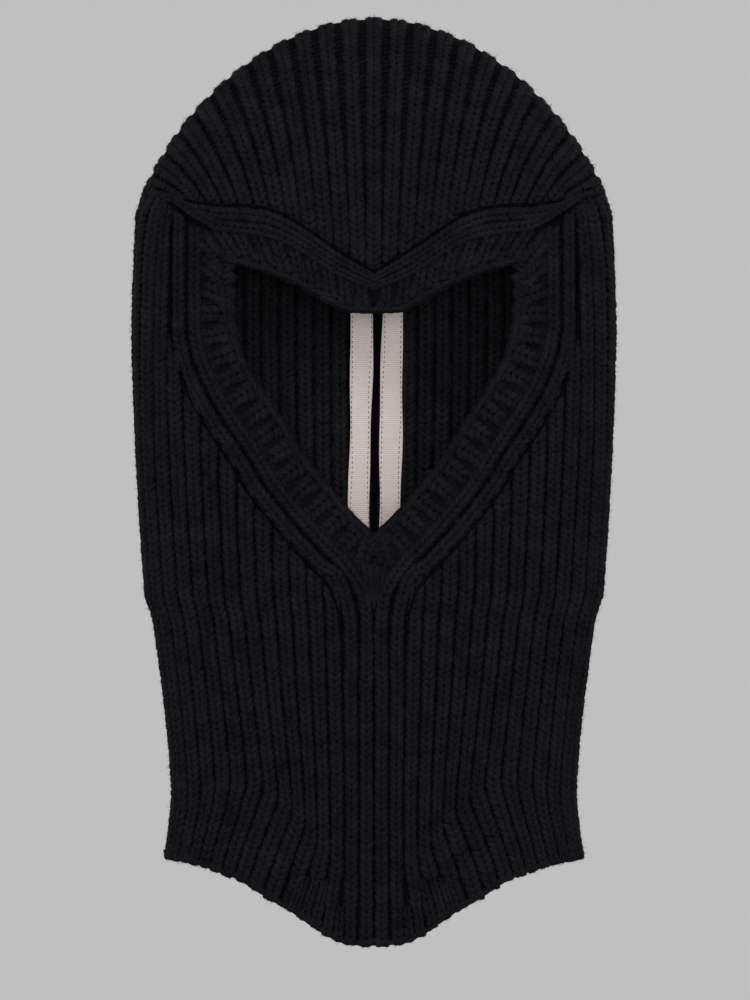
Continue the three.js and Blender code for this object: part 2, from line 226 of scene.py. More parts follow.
# The cheek trim's seam runs beside its edge from the outer corner, then down to the chin.
corner_share = np.clip(np.arange(len(cheek_line)) / 11, 0, 1)[:, None]
cheek_seam_line = cheek_line + (1 - corner_share) * corner_reach
cheek_seam_line = cheek_seam_line + corner_share * aside(cheek_line) * trim_width
chin_steps = 8
cheek_line = np.concatenate([cheek_line, np.repeat(cheek_line[-1:], chin_steps, 0)])
to_chin = np.linspace(cheek_seam_line[-1], (0, chin_seam_z), chin_steps + 1)[1:]
cheek_seam_line = np.concatenate([cheek_seam_line, to_chin])

# The hem: a rounded bib in front, a shallower one behind.
hem_corner_z, hem_lift, back_hem_share = 40.0, 1.2, 0.6
hem_rise = soft_curve([
    (0, 0), (0.15, 0.042), (0.2, 0.1), (0.25, 0.175), (0.3, 0.265), (0.345, 0.34), (0.415, 0.45),
    (0.5, 0.565), (0.6, 0.73), (0.7, 0.82), (0.85, 0.94), (1, 1),
])


def hem_height(angle):
    """The hem's height at an angle round the tube."""
    drop = hem_corner_z * np.where(np.cos(angle) < 0, back_hem_share, 1.0)
    return hem_corner_z + hem_lift - drop * (1 - hem_rise(np.abs(np.sin(angle))))


def back_lean(z):
    """How far the back seam leans to the wearer's left at a height."""
    return 2.6 * np.clip((z - chin_z) / (crown_seam_z - chin_z), 0, 1)


def feed(node, inputs):
    """Gives each input of a node its value, or a link from another node's output."""
    for socket, value in inputs.items():
        if isinstance(value, bpy.types.NodeSocket):
            node.id_data.links.new(value, node.inputs[socket])
        else:
            node.inputs[socket].default_value = value
    return node


def add_node(tree, kind, inputs=None, **settings):
    """A new node of a tree with its settings made and its inputs fed."""
    made = tree.nodes.new(kind)
    for key, value in settings.items():
        setattr(made, key, value)
    return feed(made, inputs or {})


def new_material(name):
    """A material, with its tree, its shader and the piece's own coordinates."""
    made = bpy.data.materials.new(name)
    made.use_nodes = True
    tree = made.node_tree
    return made, tree, tree.nodes["Principled BSDF"], add_node(tree, "ShaderNodeTexCoord").outputs["Object"]


def two_colours(tree, factor, low, high, span=(0, 1)):
    """A colour that goes from low to high as a factor crosses a span."""
    ramp = add_node(tree, "ShaderNodeValToRGB", {"Fac": factor})
    for end, position, colour in zip(ramp.color_ramp.elements, span, (low, high)):
        end.position, end.color = position, (*colour, 1)
    return ramp.outputs["Color"]


def bumped(tree, height, strength, distance):
    """The normal of a surface that a texture raises by up to a distance in metres."""
    bump = add_node(tree, "ShaderNodeBump", {"Strength": strength, "Distance": distance, "Height": height})
    return bump.outputs["Normal"]


# Wool: near-black, matt, with a faint haze of loose fibres and slightly uneven dye.
dye_scale, tuft_scale = 110, 1050


def wool(name, tint, haze, shine):
    """Yarn of one mean colour; haze is the pale sheen of its fibres, shine its gloss."""
    made, tree, shader, place = new_material(name)
    dye = add_node(tree, "ShaderNodeTexNoise", {"Vector": place, "Scale": dye_scale, "Detail": 2})
    tuft = add_node(tree, "ShaderNodeTexNoise", {
        "Vector": place, "Scale": tuft_scale, "Detail": 5, "Roughness": 0.8,
    })
    mix = add_node(tree, "ShaderNodeMix", {"Factor": 0.75, "A": dye.outputs["Fac"], "B": tuft.outputs["Fac"]})
    dark, pale = 0.25 * np.array(tint), 2.1 * np.array(tint)
    feed(shader, {
        "Base Color": two_colours(tree, mix.outputs["Result"], dark, pale, span=(0.36, 0.68)),
        "Normal": bumped(tree, tuft.outputs["Fac"], strength=1.0, distance=0.0009),
        "Roughness": 0.9, "Specular IOR Level": shine,
        "Sheen Weight": haze, "Sheen Roughness": 0.6, "Sheen Tint": (0.5, 0.5, 0.55, 1),
    })
    return made


black_wool = wool("black_wool", (0.0092, 0.0089, 0.0110), haze=0.012, shine=0.02)
# A copy of the same yarn a third brighter: painted light for the ribs seen inside the hood.
inner_wool = wool("inner_wool", (0.0122, 0.0118, 0.0145), haze=0.012, shine=0.02)
# A copy of the same yarn about three times darker: painted shade for the cloth deep under the ribs and for
# the chains in the grooves and seams.
shaded_wool = wool("shaded_wool", (0.0034, 0.0033, 0.0042), haze=0.0, shine=0.0)

# One stitch: two tapered yarn legs that open upwards from the middle of the rib.
stitch_height, rib_half, yarn_radius = 3.1, 3.3, 1.45
leg_rings, leg_sides = 4, 6


def tube_faces(rings, sides):
    """The faces of a closed tube whose points go round ring by ring."""
    faces = [
        (r * sides + k, r * sides + (k + 1) % sides, (r + 1) * sides + (k + 1) % sides, (r + 1) * sides + k)
        for r in range(rings - 1) for k in range(sides)
    ]
    return faces + [tuple(range(sides))[::-1], tuple(range((rings - 1) * sides, rings * sides))]


def yarn_leg(side):
    """One leg: the points of a bowed, tapered tube that falls away at the rib's sides."""
    t = np.linspace(0, 1, leg_rings)
    bow = np.sin(np.pi * (0.16 + 0.68 * t))
    share = 0.17 + 0.49 * t  # of the rib's half width
    middle = np.stack([
        side * rib_half * share, stitch_height * (-0.68 + 1.4 * t),
        1.1 * (bow - 1) - 2.4 * share**2 - yarn_radius + 0.2,
    ], 1)
    along = unit(np.gradient(middle, axis=0))
    across = unit(np.cross(along, [0, 0, 1.0]))
    up = np.cross(across, along)
    turn = np.linspace(0, 2 * np.pi, leg_sides, endpoint=False)
    radius = yarn_radius * (0.5 + 0.5 * bow)
    ring = np.cos(turn)[:, None] * across[:, None] + np.sin(turn)[:, None] * up[:, None]
    return (middle[:, None] + radius[:, None, None] * ring).reshape(-1, 3)


def tidy_normals(made):
    """Turns every face of a closed mesh outwards."""
    shape = bmesh.new()
    shape.from_mesh(made.data)
    bmesh.ops.recalc_face_normals(shape, faces=shape.faces)
    shape.to_mesh(made.data)
    shape.free()
    return made


def stitch_object(name, tubes, rings, sides):
    """One stitch made of tubes of points in millimetres, its faces turned outwards."""
    faces = [
        tuple(k + n * sides * rings for k in face)
        for n in range(len(tubes)) for face in tube_faces(rings, sides)
    ]
    return tidy_normals(mesh_object(name, np.concatenate(tubes) * mm, faces))


v_stitch = stitch_object("v_stitch", [yarn_leg(-1), yarn_leg(1)], leg_rings, leg_sides)


def new_tree(name, sockets):
    """A Geometry Nodes tree with its named inputs, and the outputs that give them."""
    tree = bpy.data.node_groups.new(name, "GeometryNodeTree")
    tree.is_modifier = True
    for socket, kind in {"Geometry": "Geometry", **sockets}.items():
        tree.interface.new_socket(socket, in_out="INPUT", socket_type="NodeSocket" + kind)
    tree.interface.new_socket("Geometry", in_out="OUTPUT", socket_type="NodeSocketGeometry")
    return tree, add_node(tree, "NodeGroupInput").outputs


def one_on_each(tree, points, item, rotation, scale, yarn):
    """Ends a tree with one item on every point, made real and given its yarn."""
    source = add_node(tree, "GeometryNodeObjectInfo", {"Object": item}, transform_space="ORIGINAL")
    items = add_node(tree, "GeometryNodeInstanceOnPoints", {
        "Points": points, "Instance": source.outputs["Geometry"], "Rotation": rotation, "Scale": scale,
    })
    real = add_node(tree, "GeometryNodeRealizeInstances", {"Geometry": items.outputs["Instances"]})
    coat = add_node(tree, "GeometryNodeSetMaterial", {"Geometry": real.outputs["Geometry"], "Material": yarn})
    add_node(tree, "NodeGroupOutput", {"Geometry": coat.outputs["Geometry"]})


def turned_by(tree, rotation, euler):
    """A rotation with a further turn about its own axes."""
    more = add_node(tree, "FunctionNodeEulerToRotation", {"Euler": euler}).outputs["Rotation"]
    both = {"Rotation": rotation, "Rotate By": more}
    return add_node(tree, "FunctionNodeRotateRotation", both, rotation_space="LOCAL").outputs["Rotation"]


def stitch_tree():
    """Geometry Nodes that set a stitch at even steps along wale lines, turned by attributes."""
    tree, given = new_tree("stitches_along_wales", {
        "Stitch": "Object", "Stitch step": "Float", "Unevenness": "Float", "Seed": "Int", "Yarn": "Material",
    })
    curve = add_node(tree, "GeometryNodeMeshToCurve", {"Mesh": given["Geometry"]}).outputs["Curve"]
    even = add_node(tree, "GeometryNodeResampleCurve", mode="LENGTH")
    feed(even, {"Curve": curve, "Length": given["Stitch step"]})

    def stored(name):
        kind = "GeometryNodeInputNamedAttribute"
        return add_node(tree, kind, {"Name": name}, data_type="FLOAT_VECTOR").outputs["Attribute"]

    def scatter(reach, offset):
        """Random vectors within a reach each way, as large as the unevenness."""
        seed = add_node(tree, "ShaderNodeMath", {0: given["Seed"], 1: offset}, operation="ADD").outputs[0]
        ends = {"Min": [-r for r in reach], "Max": reach, "Seed": seed}
        drawn = add_node(tree, "FunctionNodeRandomValue", data_type="FLOAT_VECTOR")
        sized = {0: feed(drawn, ends).outputs["Value"], "Scale": given["Unevenness"]}
        return feed(add_node(tree, "ShaderNodeVectorMath", operation="SCALE"), sized).outputs["Vector"]

    axes = {"Primary Axis": stored("outward"), "Secondary Axis": stored("along")}
    turned = add_node(tree, "FunctionNodeAxesToRotation", axes, primary_axis="Z", secondary_axis="Y")
    tilted = turned_by(tree, turned.outputs["Rotation"], scatter((0.12, 0.08, 0.1), 1))
    size = stored("size")
    swell = add_node(tree, "ShaderNodeVectorMath", operation="MULTIPLY_ADD")
    feed(swell, {0: scatter((0.05, 0.08, 0.1), 2), 1: size, 2: size})
    one_on_each(tree, even.outputs["Curve"], given["Stitch"], tilted, swell.outputs["Vector"], given["Yarn"])
    return tree


stitches_along_wales = stitch_tree()


def wale(points, normals, scale=1.0, lift=0.0, height=1.0):
    """A line that stitches follow: points of the surface, raised by lift, and the stitch's size."""
    points = points + normals * np.broadcast_to(lift, points.shape[:1])[:, None]
    scale, height = (np.broadcast_to(size, points.shape[:1]) for size in (scale, height))
    size = np.stack([scale, np.ones_like(scale), height], 1)
    return points, normals, unit(np.gradient(points, axis=0)), size


def grown(name, mesh, tree, given):
    """The plain piece that a tree makes of a mesh, with the tree's inputs given by name."""
    carrier = in_scene(name + "_carrier", mesh)
    modifier = carrier.modifiers.new("grown", "NODES")
    modifier.node_group = tree
    for socket in tree.interface.items_tree:
        if socket.in_out == "INPUT" and socket.name in given:
            modifier[socket.identifier] = given[socket.name]
    result = bpy.data.meshes.new_from_object(carrier.evaluated_get(bpy.context.evaluated_depsgraph_get()))
    result.name = name
    bpy.data.objects.remove(carrier)
    made = in_scene(name, result)
    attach(made, "root")
    return made


def knit(name, wales, seed, yarn, step=stitch_height, unevenness=0.9, stitch=v_stitch):
    """Knits stitches along wales into one piece, each shifted a little as the seed draws it."""
    wales = [w for w in wales if len(w[0]) > 1]
    lines = bpy.data.meshes.new(name + "_wales")
    ends = np.cumsum([len(w[0]) for w in wales])
    edges = [(i, i + 1) for i in range(ends[-1] - 1) if i + 1 not in set(ends)]
    lines.from_pydata(placed(np.concatenate([w[0] for w in wales])), edges, [])
    for k, key in ((1, "outward"), (2, "along"), (3, "size")):
        values = lines.attributes.new(key, "FLOAT_VECTOR", "POINT")
        values.data.foreach_set("vector", np.concatenate([w[k] for w in wales]).ravel())
    given = {
        "Stitch": stitch, "Stitch step": step * mm, "Unevenness": unevenness, "Seed": seed, "Yarn": yarn,
    }
    return grown(name, lines, stitches_along_wales, given)


roll_points = 7


def rolled(points, normals, radius=2.4):
    """A wale whose start turns in over a rounded edge."""
    run = run_along(points)
    n = normals[0]
    ahead = points[np.argmax(run > radius)] - points[0]
    ahead = unit(ahead - n * (ahead @ n))
    turn = np.radians(np.linspace(-35, 82, roll_points))[:, None]
    spoke = np.sin(turn) * n - np.cos(turn) * ahead
    arc = points[0] + (ahead - n) * radius + spoke * radius
    keep = run > radius * 1.1
    return np.concatenate([arc, points[keep]]), np.concatenate([spoke, normals[keep]])


# Ribs run up the tube at equal spaces round it, fifteen to each quarter.
ribs_per_quarter = 15
fine_angle = np.linspace(0, np.pi / 2, 181)


def quarter_run(z):
    """How far round a quarter of the tube each fine angle is, at each height."""
    w, d = half_width(z)[:, None], half_depth(z)[:, None]
    speed = np.sqrt((w * np.cos(fine_angle)) ** 2 + (d * np.sin(fine_angle)) ** 2)
    steps = (speed[:, 1:] + speed[:, :-1]) / 2 * np.diff(fine_angle)
    return np.concatenate([np.zeros((len(z), 1)), np.cumsum(steps, 1)], 1)


def angle_at(arc_share, z):
    """The angle that is a share of the way round a quarter of the tube, measured along it."""
    return np.array([np.interp(arc_share * run[-1], run, fine_angle) for run in quarter_run(z)])


def rib_pitch(z):
    """The room for each rib at heights, where they are spread evenly."""
    return quarter_run(z)[:, -1] / ribs_per_quarter


def rib_scale(points):
    """How wide a stitch is made along a rib, to fill the room that the tube gives it."""
    return rib_pitch(points[:, 2]) * 0.95 / (2 * rib_half)


# Below a slanting line the ribs kink outwards to meet the hem squarely.
kink_height = soft_curve([(0, 30), (12, 34), (55, 75), (75, 78), (100, 60)])
hem_shift = soft_curve([(0, 0), (12, 0.6), (24, 7.5), (40, 9), (55, 8.6), (70, 6.4), (85, 3), (100, 0)])
bunch_shift = soft_curve([(0, 0), (12, 0.3), (24, 1.3), (40, 3.6), (55, 4.0), (70, 2.2), (85, 0.6), (100, 0)])


def flared(place, z, hem):
    """How far a rib at a place beside the middle moves outwards at a height near the hem."""
    kink = kink_height(place)
    below = np.clip((kink - z) / np.maximum(kink - hem, 1), 0, 1.3)
    near = np.clip(1 - np.abs(z - kink) / np.where(z > kink, 85, 45), 0, 1)
    return hem_shift(place) * below**1.15 - bunch_shift(place) * near**1.7


def rib_top(x_of_z, groove):
    """The height at which a rib meets the border that runs beside the cheek trim."""
    z = np.linspace(170, crown_seam_z, 240)
    inside = x_of_z(z) < np.interp(z, groove[:, 1], groove[:, 0], left=0, right=-1)
    return z[np.argmax(inside)] if inside.any() else crown_seam_z


border_width = 8.2
seam_up = cheek_seam_line[::-1]
seam_aside = -aside(seam_up)


def beside_seam(distance, low, clear_x):
    """A line beside the cheek trim's seam that turns down through a few points at the chin."""
    line = seam_up[8:] + seam_aside[8:] * distance
    return spaced(np.concatenate([low, line[line[:, 0] > clear_x]]), 140)


border_line = beside_seam(border_width * 0.5, [(10.5, 126), (10.8, 146), (12.5, 162), (17.6, 176)], 24)
border_outside = beside_seam(border_width, [(14.7, 126), (15.2, 146), (17.2, 160), (21.6, 170.5)], 28)
chin_line = beside_seam(-4.0, [(3.4, 126), (3.4, 148), (4.0, 161), (7.4, 171.5)], 14)


# Two ribs run on beside the chin. The next end under the border, and the last at the temple,
# where they are gathered from temple_start up. A rib's place is its x at place_z.
chin_ribs, chin_rib_top, border_overlap, bend_height = 2, 126.0, 4.5, 26
temple_x, temple_start, temple_z = 97, 322, crown_seam_z - 2.2
place_z = 100.0


def front_rib(k):
    """The k-th rib from the front seam: its path, as points of the tube, and its lift."""
    share = (k + 0.5) / ribs_per_quarter

    def x_of(z):
        return half_width(z) * np.sin(angle_at(share, z))

    top = chin_rib_top if k < chin_ribs else min(rib_top(x_of, border_outside) + border_overlap, temple_z)
    place = x_of(np.array([place_z]))[0]
    low_x = (place + hem_shift(place)) / half_width(np.array([hem_corner_z]))[0]
    hem = float(hem_height(np.arcsin(np.clip(low_x, 0, 1))))
    z = np.linspace(hem, top, 90)
    x = x_of(z) + flared(place, z, hem)
    if top == temple_z:  # gathered towards the temple
        gather = np.clip((z - temple_start) / (temple_z - temple_start), 0, 1)
        x = x - {13: 0.42, 14: 0.12}.get(k, 0.6) * (x - temple_x) * gather**1.7
        x = x - 1.6 * np.clip((z - 235) / 60, 0, 1) * (k < 14)
    elif k >= chin_ribs:  # bent in under the border
        bend = 0.5 if k < 5 else 2.0 if k < 11 else 1.0
        x = x - bend * np.clip((z - (top - bend_height)) / bend_height, 0, 1) ** 2
    x = np.minimum(x, half_width(z) * 0.9995)  # short of the tube's outline
    sunk = -1.9 * np.clip((z - (top - 8)) / 8, 0, 1) ** 1.5
    return facing(x, z, -1), sunk if k >= chin_ribs else np.zeros_like(z)


front_ribs = [front_rib(k) for k in range(ribs_per_quarter)]
paths = [path for path, lift in front_ribs]
# Where the gap from a rib to the next is wider than this, an extra short rib fills it.
first_hem_rib, last_hem_rib, hem_rib_top, open_gap = 1, 3, 70, 9.2


def gap_beside(k, z):
    """The room between a front rib and the next one outwards, at heights; even above its end."""
    nominal = rib_pitch(z)
    if k < 0:
        return nominal
    one = np.stack([np.interp(z, paths[k][:, 2], paths[k][:, i]) for i in (0, 1)])
    if k == ribs_per_quarter - 1:
        two = around(np.pi - angle_at((k + 0.5) / ribs_per_quarter, z), z)[:, :2].T
        ends = crown_seam_z
    else:
        two = np.stack([np.interp(z, paths[k + 1][:, 2], paths[k + 1][:, i]) for i in (0, 1)])
        ends = min(paths[k][-1, 2], paths[k + 1][-1, 2]) + 0.1
    gap = np.where(z <= ends, np.linalg.norm(one - two, axis=0), nominal)
    shared = (first_hem_rib <= k <= last_hem_rib) & (gap > open_gap) & (z < hem_rib_top)
    return np.where(shared, gap / 2, np.clip(gap, 0.5 * nominal, 1.35 * nominal))


def hem_rib(k):
    """An extra rib that starts between two ribs where the kink at the hem draws them apart."""
    one, two = paths[k], paths[k + 1]
    z = np.linspace(max(min(one[0, 2], two[0, 2]), 0), hem_rib_top, 60)
    x = np.array([np.interp(z, p[:, 2], p[:, 0]) for p in (one, two)])
    gap = x[1] - x[0]
    middle = facing(x.mean(0), z, -1)
    low = hem_height(np.arcsin(np.clip(middle[:, 0] / half_width(z), 0, 1)))
    kept = (gap > open_gap) & (z >= low)
    z, gap, middle = z[kept], gap[kept], middle[kept]
    lift = -1.9 * np.clip(1 - (z[-1:] - z) / 7, 0, 1)
    return middle, lift, gap / 2 / (2 * rib_half)


def hem_wale(points, lift, scale):
    """A rib's wale from the hem up, its start rolled in over the edge."""
    start, normals = rolled(points, outward(points))
    skipped = len(points) - (len(start) - roll_points)
    lift = np.r_[np.zeros(roll_points), lift[skipped:]]
    scale = np.r_[np.full(roll_points, scale[0]), scale[skipped:]]
    return wale(start, normals, scale, lift)


front_wales, back_wales, inner_wales = [], [], []
for k, (points, lift) in enumerate(front_ribs):
    z = points[:, 2]
    scale = (gap_beside(k - 1, z) + gap_beside(k, z)) / 2 * 0.96 / (2 * rib_half)
    if k < chin_ribs:  # runs on up the chin, the second one all the way round the cheek
        beside = chin_line[chin_line[:, 1] < chin_seam_z + 3] if k == 0 else border_line
        beside = beside[3:]
        scale = np.r_[scale, np.linspace(scale[-1], 1.0, len(beside))]
        points = np.concatenate([points, under(beside)])
        lift = np.zeros(len(points))
    elif z[-1] < temple_z - 1:  # wider where it runs in under the border
        scale = scale * (1 + 0.3 * np.clip(1 - (z[-1] - z) / 18, 0, 1))
    front_wales.append(hem_wale(points, lift, scale))
for k in range(first_hem_rib, last_hem_rib + 1):
    points, lift, scale = hem_rib(k)
    if len(points) > 8:
        front_wales.append(hem_wale(points, lift, scale))

# A thin line of stitches in the darker yarn fills the gutter outside the border: painted shade for the dark
# groove there.
chain_step = 2.3
gutter = border_outside[border_outside[:, 1] > 150]
gutter = under(gutter)
gutter_scale = 0.22 - 0.1 * np.clip((gutter[:, 2] - 210) / 50, 0, 1)
gutter_lift = 0.25 - 0.9 * np.clip((gutter[:, 2] - 240) / 40, 0, 1)
gutter_shade_wales = [wale(gutter, outward(gutter), gutter_scale, gutter_lift, height=0.6)]

# Behind, the ribs run straight up from the hem; the inside shows the ribs between them, in the
# brighter copy of the yarn: painted light that offsets the shade inside the hood.
inner_low, inner_high = 130, 350
for k in range(ribs_per_quarter):
    share = (k + 0.5) / ribs_per_quarter
    low_angle = angle_at(share, np.array([30.0]))[0]
    z = np.linspace(float(hem_height(np.pi - low_angle)), crown_seam_z - 1, 110)
    points = around(np.pi - angle_at(share, z), z)
    points, n = rolled(points, outward(points))
    back_wales.append(wale(points, n, rib_scale(points)))
    if k < ribs_per_quarter - 2:
        z = np.linspace(inner_low, inner_high, 90)
        points = around(np.pi - angle_at((k + 0.95) / ribs_per_quarter, z), z)
        n = outward(points)
        inner_wales.append(wale(points - n * wall, -n, rib_scale(points)))


def on_side(wales, side):
    """Wales of the left side, side 1, mirrored for the right side, side -1."""
    flip = np.array([side, 1, 1])
    return [(p * flip, n * flip, t * flip, s) for p, n, t, s in wales]


def sheet_between(name, grid, above, below, material):
    """A closed sheet of cloth over a grid of surface points, between two distances from it."""
    rows, columns = grid.shape[:2]
    n = outward(grid)
    above, below = (np.broadcast_to(d, (rows, columns))[..., None] for d in (above, below))
    places = np.concatenate([(grid + n * above).reshape(-1, 3), (grid - n * below).reshape(-1, 3)])
    i = np.arange(rows * columns).reshape(rows, columns)
    j = i + rows * columns
    faces = []
    for r in range(rows - 1):
        for c in range(columns - 1):
            faces.append((i[r, c], i[r, c + 1], i[r + 1, c + 1], i[r + 1, c]))
            faces.append((j[r, c], j[r + 1, c], j[r + 1, c + 1], j[r, c + 1]))
    ring = [(0, c) for c in range(columns - 1)] + [(r, columns - 1) for r in range(rows - 1)]
    ring += [(rows - 1, c) for c in range(columns - 1, 0, -1)] + [(r, 0) for r in range(rows - 1, 0, -1)]
    for a, b in zip(ring, ring[1:] + ring[:1]):
        faces.append((i[b], i[a], j[a], j[b]))
    made = mesh_object(name, placed(places), [tuple(int(v) for v in f) for f in faces], material)
    return tidy_normals(made)


panel_columns, chin_rows = 61, 30


def panel_grid(side):
    """The body panel's sheet: rows up from the hem, columns round from the front seam."""
    hem_angle = np.linspace(0, np.pi, panel_columns)
    hem = np.stack([hem_angle, hem_height(hem_angle) + 1.0], 1)
    quarter = np.linspace(0, 1, panel_columns // 2 + 1)
    top_angle = np.r_[corner_angle + (np.pi / 2 - corner_angle) * quarter, np.pi / 2 * (1 + quarter[1:])]
    rise = np.clip((top_angle - corner_angle) / 0.2, 0, 1)
    top = np.stack([top_angle, trim_corner[1] + (crown_seam_z - trim_corner[1]) * rise], 1)
    straight = np.stack([np.zeros(chin_rows), np.linspace(hem[0, 1], chin_seam_z, chin_rows, False)], 1)
    slant = np.stack([np.arcsin(np.clip(seam_up[:, 0] / half_width(seam_up[:, 1]), 0, 1)), seam_up[:, 1]], 1)
    inner = np.concatenate([straight, slant])
    outer_z = np.r_[
        np.linspace(hem[-1, 1], chin_seam_z, chin_rows, False),
        np.linspace(chin_seam_z, crown_seam_z, len(seam_up)),
    ]
    outer = np.stack([np.pi - np.arcsin(side * back_lean(outer_z) / half_width(outer_z)), outer_z], 1)
    u = np.linspace(0, 1, panel_columns)[None, :, None]
    v = np.linspace(0, 1, len(inner))[:, None, None]
    blend = (1 - v) * hem[None] + v * top[None] + (1 - u) * inner[:, None] + u * outer[:, None]
    blend = blend - (1 - v) * ((1 - u) * hem[0] + u * hem[-1]) - v * ((1 - u) * top[0] + u * top[-1])
    return around(blend[..., 0], blend[..., 1])


# The cloth lies under the stitches: its outer face is at cloth_top from the tube's surface, its
# inner face cloth_low below it, and it is thinner behind. It is the darker copy of the yarn,
# painted shade for the deep gutters between the ribs.
cloth_top, cloth_low = -3.0, 3.9
behind = np.clip((np.linspace(0, 1, panel_columns) - 0.48) / 0.06, 0, 1)
left_and_right = (("left", 1), ("right", -1))
for name, side in left_and_right:
    cloth = sheet_between(
        f"body_cloth_{name}", panel_grid(side) * [side, 1, 1], cloth_top + 0.8 * behind,
        cloth_low - 1.1 * behind, shaded_wool,
    )
    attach(cloth, "root")
    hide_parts(f"body_panel_{name}")
    parts = [
        knit(f"front_ribs_{name}", on_side(front_wales, side), 11 + side, black_wool),
        knit(f"back_ribs_{name}", on_side(back_wales, side), 21 + side, black_wool),
        knit(f"inner_ribs_{name}", on_side(inner_wales, side), 31 + side, inner_wool),
        knit(f"border_gutter_{name}", on_side(gutter_shade_wales, side), 35 + side, shaded_wool, step=chain_step),
    ]

# ------------------------------------------------------------------ crown cap
# A cap of the same rib: 25 ribs spread from the brow like a fan, run over the top of the head
# and down to a seam across the back. Purl bumps show in the gutters where the ribs spread.

# Twelve ribs each side of the middle one, fan_step apart along the head's outline. The cap's
# cloth goes on past the last of them by temple_margin, as a share of the fan.
ribs_per_side, fan_step, temple_margin = 12, 11.75, 0.08
outline_z = crown_seam_z + (crown_top - crown_seam_z) * np.sin(np.linspace(0, np.pi, 201)) ** 1.4
outline = np.stack([np.sign(np.linspace(-1, 1, 201)) * half_width(outline_z), outline_z], 1)
outline_run = run_along(outline)
outline_middle = outline_run[-1] / 2


def crown_rib(place):
    """A fan line: place runs from -1 at the right temple to 1 at the left, and a little beyond."""
    rib, beyond = abs(place) * ribs_per_side, np.clip((abs(place) - 1) / temple_margin, 0, 1)
    low = np.array([min(rib, ribs_per_side) * trim_corner[0] / ribs_per_side, 0])
    low[1] = np.interp(low[0], peak_line[:, 0], peak_line[:, 1])
    low[1] -= 4.6 - 2.2 * np.clip((abs(place) - 0.5) / 0.5, 0, 1)  # tucked under the trim
    low = low + beyond * (np.array([half_width(crown_seam_z) - 0.1, crown_seam_z]) - low)
    run = outline_middle + min(rib, ribs_per_side) * fan_step
    run += beyond * (outline_middle - fan_step * ribs_per_side)
    over = np.array([np.interp(run, outline_run, outline[:, k]) for k in (0, 1)])
    back = np.array([min(abs(place), 1.0) * half_width(crown_seam_z) * 0.985, crown_seam_z + 0.5])
    share = (1 - (1 - np.linspace(0, 1, 40)[:-1]) ** 2)[:, None]
    front = low + (over - low) * share
    front[:, 0] -= 2.2 * min(abs(place) * 2, 1) * np.sin(np.pi * share[:, 0])
    behind = (back + (over - back) * share)[::-1]
    points = np.concatenate([under(front), [[over[0], 0, over[1]]], under(behind, 1)])
    points[:, 0] = np.minimum(points[:, 0], half_width(points[:, 2]))
    return points * [np.sign(place) or 1, 1, 1]


crown_wales, purl_wales = [], []
narrowest, widest_at_brow, gutter_opens_at = 4.6, 8.3, 8.9
for rib in range(-ribs_per_side, ribs_per_side + 1):
    points = crown_rib(rib / ribs_per_side)
    n = outward(points)
    inwards = crown_rib((rib - 1 if rib > 0 else rib + 1) / ribs_per_side)
    pitch = np.linalg.norm(points - inwards, axis=1)
    over_top = np.clip(1 - np.abs(points[:, 1]) / 22, 0, 1)
    widest = widest_at_brow + 1.2 * np.clip((abs(rib) - 5) / 4, 0, 1) + 1.3 * over_top
    scale = np.clip(pitch * 0.98, narrowest, widest) / (2 * rib_half)
    run = run_along(points)
    lift = -2.6 * np.clip(1 - run / 9, 0, 1)
    thick = np.clip(pitch / 8.4, 0.9, 1.1)
    above = run > 0.2
    crown_wales.append(wale(points[above], n[above], scale[above], lift[above], thick[above]))
    if rib < ribs_per_side:
        room = np.linalg.norm(points - crown_rib((rib + 1) / ribs_per_side), axis=1)
        wide = room > gutter_opens_at
        if wide.sum() > 3:
            where = crown_rib((rib + 0.5) / ribs_per_side)[wide]
            depth = -2.5 + 1.5 * np.clip(1 - np.abs(where[:, 1]) / 9, 0, 1)
            purl_wales.append(wale(where, outward(where), (room[wide] - 5.0) / 4, depth))

# A purl bump: one short arch of yarn that crosses the gutter between two ribs.
bump_rings, bump_sides = 4, 5
turn = np.linspace(0, 2 * np.pi, bump_sides, endpoint=False)
arch = [
    (x, 0.35 * x + thick * np.cos(a), thick * np.sin(a) - drop - 0.85)
    for x, drop, thick in ((-2.2, 1.1, 0.6), (-1.0, 0.15, 0.85), (1.0, 0.15, 0.85), (2.2, 1.1, 0.6))
    for a in turn
]
purl_bump = stitch_object("purl_bump", [arch], bump_rings, bump_sides)

cap_edge = 1 + temple_margin
grid_places = np.r_[-cap_edge, np.linspace(-1, 1, 59), cap_edge]
crown_grid = np.stack([crown_rib(place)[::3] for place in grid_places])
# The cap's cloth is the darker copy of the yarn too: painted shade in its gutters.
crown_cloth = sheet_between("crown_cloth", crown_grid, cloth_top, cloth_low, shaded_wool)
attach(crown_cloth, "root")
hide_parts("crown_panel")
crown_ribs = knit("crown_ribs", crown_wales, 41, black_wool)
# A darker copy of the same yarn: painted shade for the purl bumps in the gutters and for the trims' cloth.
gutter_wool = wool("gutter_wool", (0.0060, 0.0058, 0.0073), haze=0.0, shine=0.01)
crown_gutters = knit("crown_gutters", purl_wales, 43, gutter_wool, step=2.4, stitch=purl_bump)

# ------------------------------------------------------------------ face trims
# Four ribbed bands frame the opening, two beside the cheeks and two over the brow. Along the
# seam each has smooth columns; short ribs cross from there to the opening, with a small hole
# between their roots, and their rounded ends turn in over the edge.

temple_point = (96.0, 352.5)


